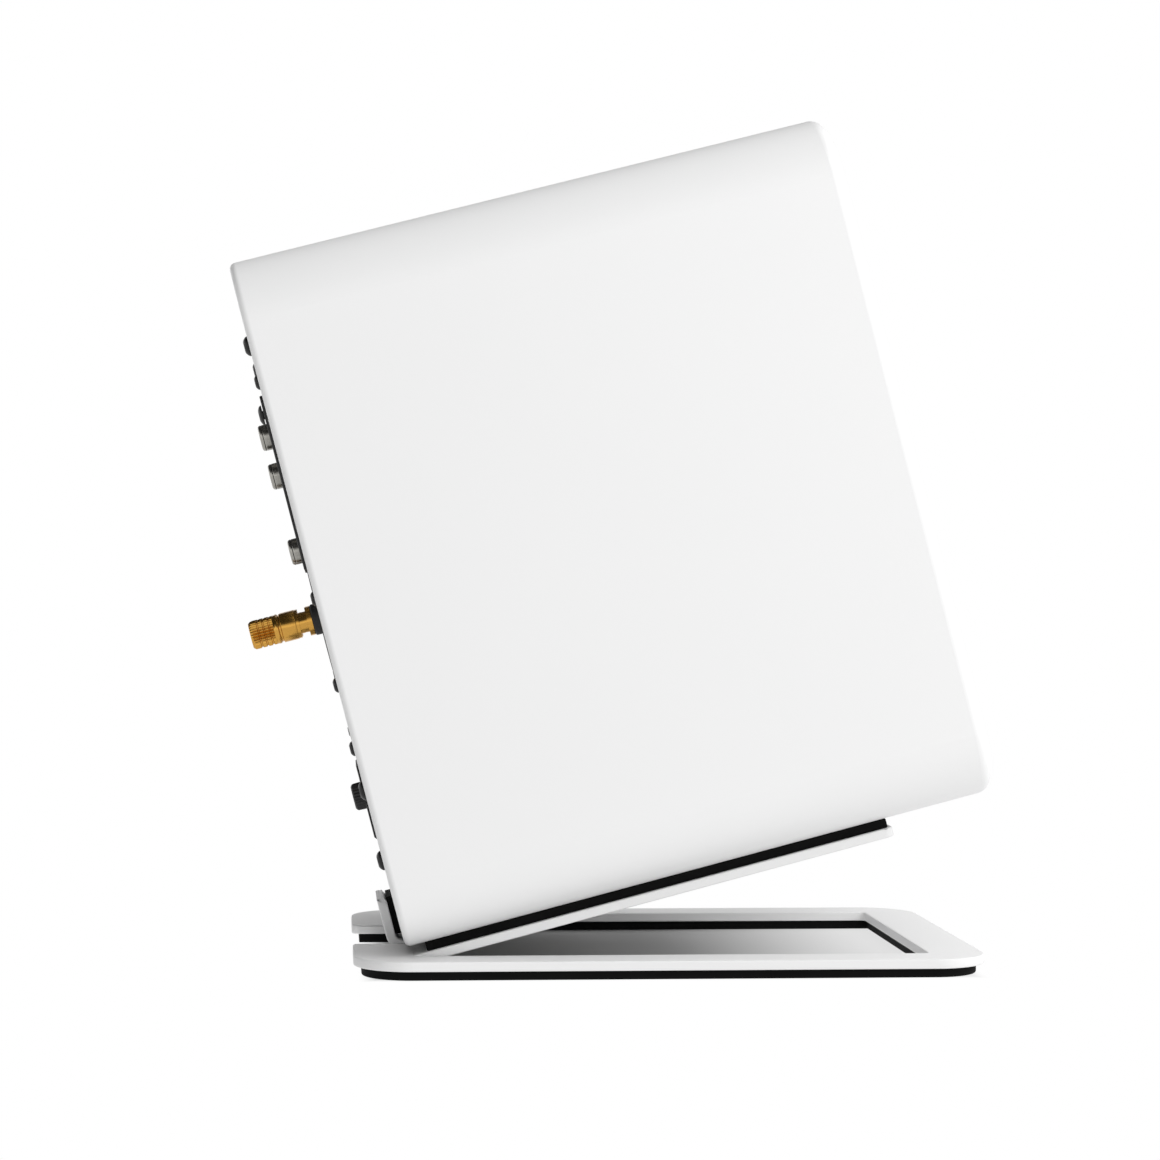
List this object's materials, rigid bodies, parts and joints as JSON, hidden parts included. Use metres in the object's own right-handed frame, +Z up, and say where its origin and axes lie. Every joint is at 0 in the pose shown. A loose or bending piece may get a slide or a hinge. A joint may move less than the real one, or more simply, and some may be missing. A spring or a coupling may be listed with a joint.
{
  "type": "powered loudspeaker on desk stand",
  "caption": "Small white powered loudspeaker leaning back on a bent steel desk stand, with rubber pads, line jacks, screw terminals, bass port and mains inlet on its back.",
  "frame": {"origin": "on the desk plane, under the middle of the overall box", "axes": "+X towards the loudspeaker's front, +Y to its left as it faces +X, +Z up"},
  "size_m": [0.2476, 0.14, 0.2668],
  "materials": {
    "stand_paint": "fine-grained powder coat on sheet steel",
    "pad_rubber": "matt black rubber",
    "cabinet_paint": "satin white paint over fibreboard",
    "basket_black": "satin moulded frame",
    "surround_rubber": "soft half-round rubber",
    "cone_fibre": "pressed fibre",
    "dust_cap_fibre": "pressed fibre",
    "copper_wire": "wound copper wire",
    "spider_cloth": "corrugated cloth",
    "plain_steel": "zinc-plated steel",
    "ferrite": "dark sintered ferrite",
    "tweeter_plastic": "fine-grained moulding",
    "dome_cloth": "coated woven dome",
    "foam": "closed-cell foam",
    "screw_black": "black oxide",
    "dial_white": "satin moulding",
    "encoder_steel": "plated steel",
    "light_lens": "clear lens",
    "panel_paint": "satin white paint on aluminium",
    "bezel_black": "fine-grained moulding",
    "gold_plate": "gold-plated",
    "nickel_plate": "nickel-plated",
    "insert_black": "moulded insulator",
    "board_green": "lacquered board",
    "sink_alloy": "extruded alloy",
    "capacitor_sleeve": "shrunk sleeve",
    "transformer_wrap": "lacquered film wrap",
    "felt": "pressed felt",
    "port_black": "satin moulding"
  },
  "bodies": {
    "stand": {"stand_plate": "stand_paint", "foot_pad": "pad_rubber", "tray_pad": "pad_rubber", "lip_pad": "pad_rubber"},
    "loudspeaker": {"cabinet": "cabinet_paint", "woofer_basket": "basket_black", "woofer_surround": "surround_rubber", "spider": "spider_cloth", "magnet_top_plate": "plain_steel", "woofer_magnet": "ferrite", "pole_piece": "plain_steel", "tweeter_plate": "tweeter_plastic", "tweeter_magnet": "ferrite", "driver_gaskets": "foam", "driver_screws": "screw_black", "volume_encoder": "encoder_steel", "status_light": "light_lens", "amplifier_plate": "panel_paint", "plate_gasket": "foam", "panel_screws": "screw_black", "trim_screws": "screw_black", "jack_bezel": "bezel_black", "jack_shells": "nickel_plate", "jack_inserts": "insert_black", "aux_socket": "insert_black", "aux_nut": "nickel_plate", "optical_socket": "insert_black", "usb_socket": "nickel_plate", "small_switches": "insert_black", "level_control": "insert_black", "mains_inlet": "insert_black", "inlet_blades": "nickel_plate", "switch_frame": "insert_black", "bass_port": "port_black", "post_stems": "gold_plate", "post_insulators": "insert_black", "amplifier_board": "board_green", "board_standoffs": "nickel_plate", "board_screws": "plain_steel", "heat_sink": "sink_alloy", "capacitors": "capacitor_sleeve", "transformer": "transformer_wrap", "transformer_bolt": "plain_steel", "damping_felt": "felt"},
    "woofer_moving": {"woofer_cone": "cone_fibre", "dust_cap": "dust_cap_fibre", "voice_coil": "copper_wire"},
    "tweeter_moving": {"tweeter_dome": "dome_cloth"},
    "dial_shaft": {"volume_shaft": "encoder_steel"},
    "dial": {"volume_dial": "dial_white"},
    "pair_key": {"pair_button": "bezel_black"},
    "select_nub": {"select_slider": "bezel_black"},
    "level": {"level_knob": "bezel_black"},
    "rocker": {"power_rocker": "bezel_black"},
    "near_clamp": {"near_post_washer": "gold_plate"},
    "near_cap": {"near_post_cap": "gold_plate"},
    "far_clamp": {"far_post_washer": "gold_plate"},
    "far_cap": {"far_post_cap": "gold_plate"},
    "earth": {"earth_screw": "nickel_plate"},
    "flap": {"optical_flap": "insert_black"}
  },
  "joints": [
    {"name": "speaker_lift", "type": "slide", "parent": "stand", "child": "loudspeaker", "axis": [-0.2554, 0, 0.9668], "range_m": [0, 0.15]},
    {"name": "woofer_excursion", "type": "slide", "parent": "loudspeaker", "child": "woofer_moving", "axis": [0.9668, 0, 0.2554], "range_m": [-0.002, 0.002], "stiffness_N_per_m": 1200},
    {"name": "tweeter_excursion", "type": "slide", "parent": "loudspeaker", "child": "tweeter_moving", "axis": [0.9668, 0, 0.2554], "range_m": [-0.0003, 0.0003], "stiffness_N_per_m": 2500},
    {"name": "dial_press", "type": "slide", "parent": "loudspeaker", "child": "dial_shaft", "axis": [-0.9668, 0, -0.2554], "range_m": [0, 0.0008], "stiffness_N_per_m": 1500, "springref_m": -0.001},
    {"name": "dial_turn", "type": "hinge", "parent": "dial_shaft", "child": "dial", "pos_m": [0.11109, 0.048, 0.0786], "axis": [0.9668, 0, 0.2554], "continuous": true},
    {"name": "pair_press", "type": "slide", "parent": "loudspeaker", "child": "pair_key", "axis": [0.9668, 0, 0.2554], "range_m": [0, 0.0006], "stiffness_N_per_m": 800, "springref_m": -0.001},
    {"name": "select_slide", "type": "slide", "parent": "loudspeaker", "child": "select_nub", "axis": [-0.2554, 0, 0.9668], "range_m": [0, 0.002]},
    {"name": "level_turn", "type": "hinge", "parent": "loudspeaker", "child": "level", "pos_m": [-0.08061, -0.03, 0.05412], "axis": [-0.9668, 0, -0.2554], "range_deg": [0, 300]},
    {"name": "power_rock", "type": "hinge", "parent": "loudspeaker", "child": "rocker", "pos_m": [-0.07889, 0.038, 0.05033], "axis": [0, 1, 0], "range_deg": [0, 18]},
    {"name": "near_post_travel", "type": "slide", "parent": "loudspeaker", "child": "near_clamp", "axis": [0.9668, 0, 0.2554], "range_m": [0, 0.0015]},
    {"name": "near_post_turn", "type": "hinge", "parent": "near_clamp", "child": "near_cap", "pos_m": [-0.10309, -0.03, 0.10786], "axis": [0.9668, 0, 0.2554], "range_deg": [0, 772]},
    {"name": "far_post_travel", "type": "slide", "parent": "loudspeaker", "child": "far_clamp", "axis": [0.9668, 0, 0.2554], "range_m": [0, 0.0015]},
    {"name": "far_post_turn", "type": "hinge", "parent": "far_clamp", "child": "far_cap", "pos_m": [-0.10309, -0.011, 0.10786], "axis": [0.9668, 0, 0.2554], "range_deg": [0, 772]},
    {"name": "earth_turn", "type": "hinge", "parent": "loudspeaker", "child": "earth", "pos_m": [-0.11221, -0.04, 0.17371], "axis": [0.9668, 0, 0.2554], "continuous": true},
    {"name": "flap_swing", "type": "hinge", "parent": "loudspeaker", "child": "flap", "pos_m": [-0.11011, 0.014, 0.16967], "axis": [0, -1, 0], "range_deg": [0, 78], "stiffness_Nm_per_rad": 0.0004, "springref_deg": -17.19}
  ],
  "couplings": [
    {"joint": "near_post_turn", "follows": "near_post_travel", "rad_per_m": 8976},
    {"joint": "far_post_turn", "follows": "far_post_travel", "rad_per_m": 8976}
  ]
}
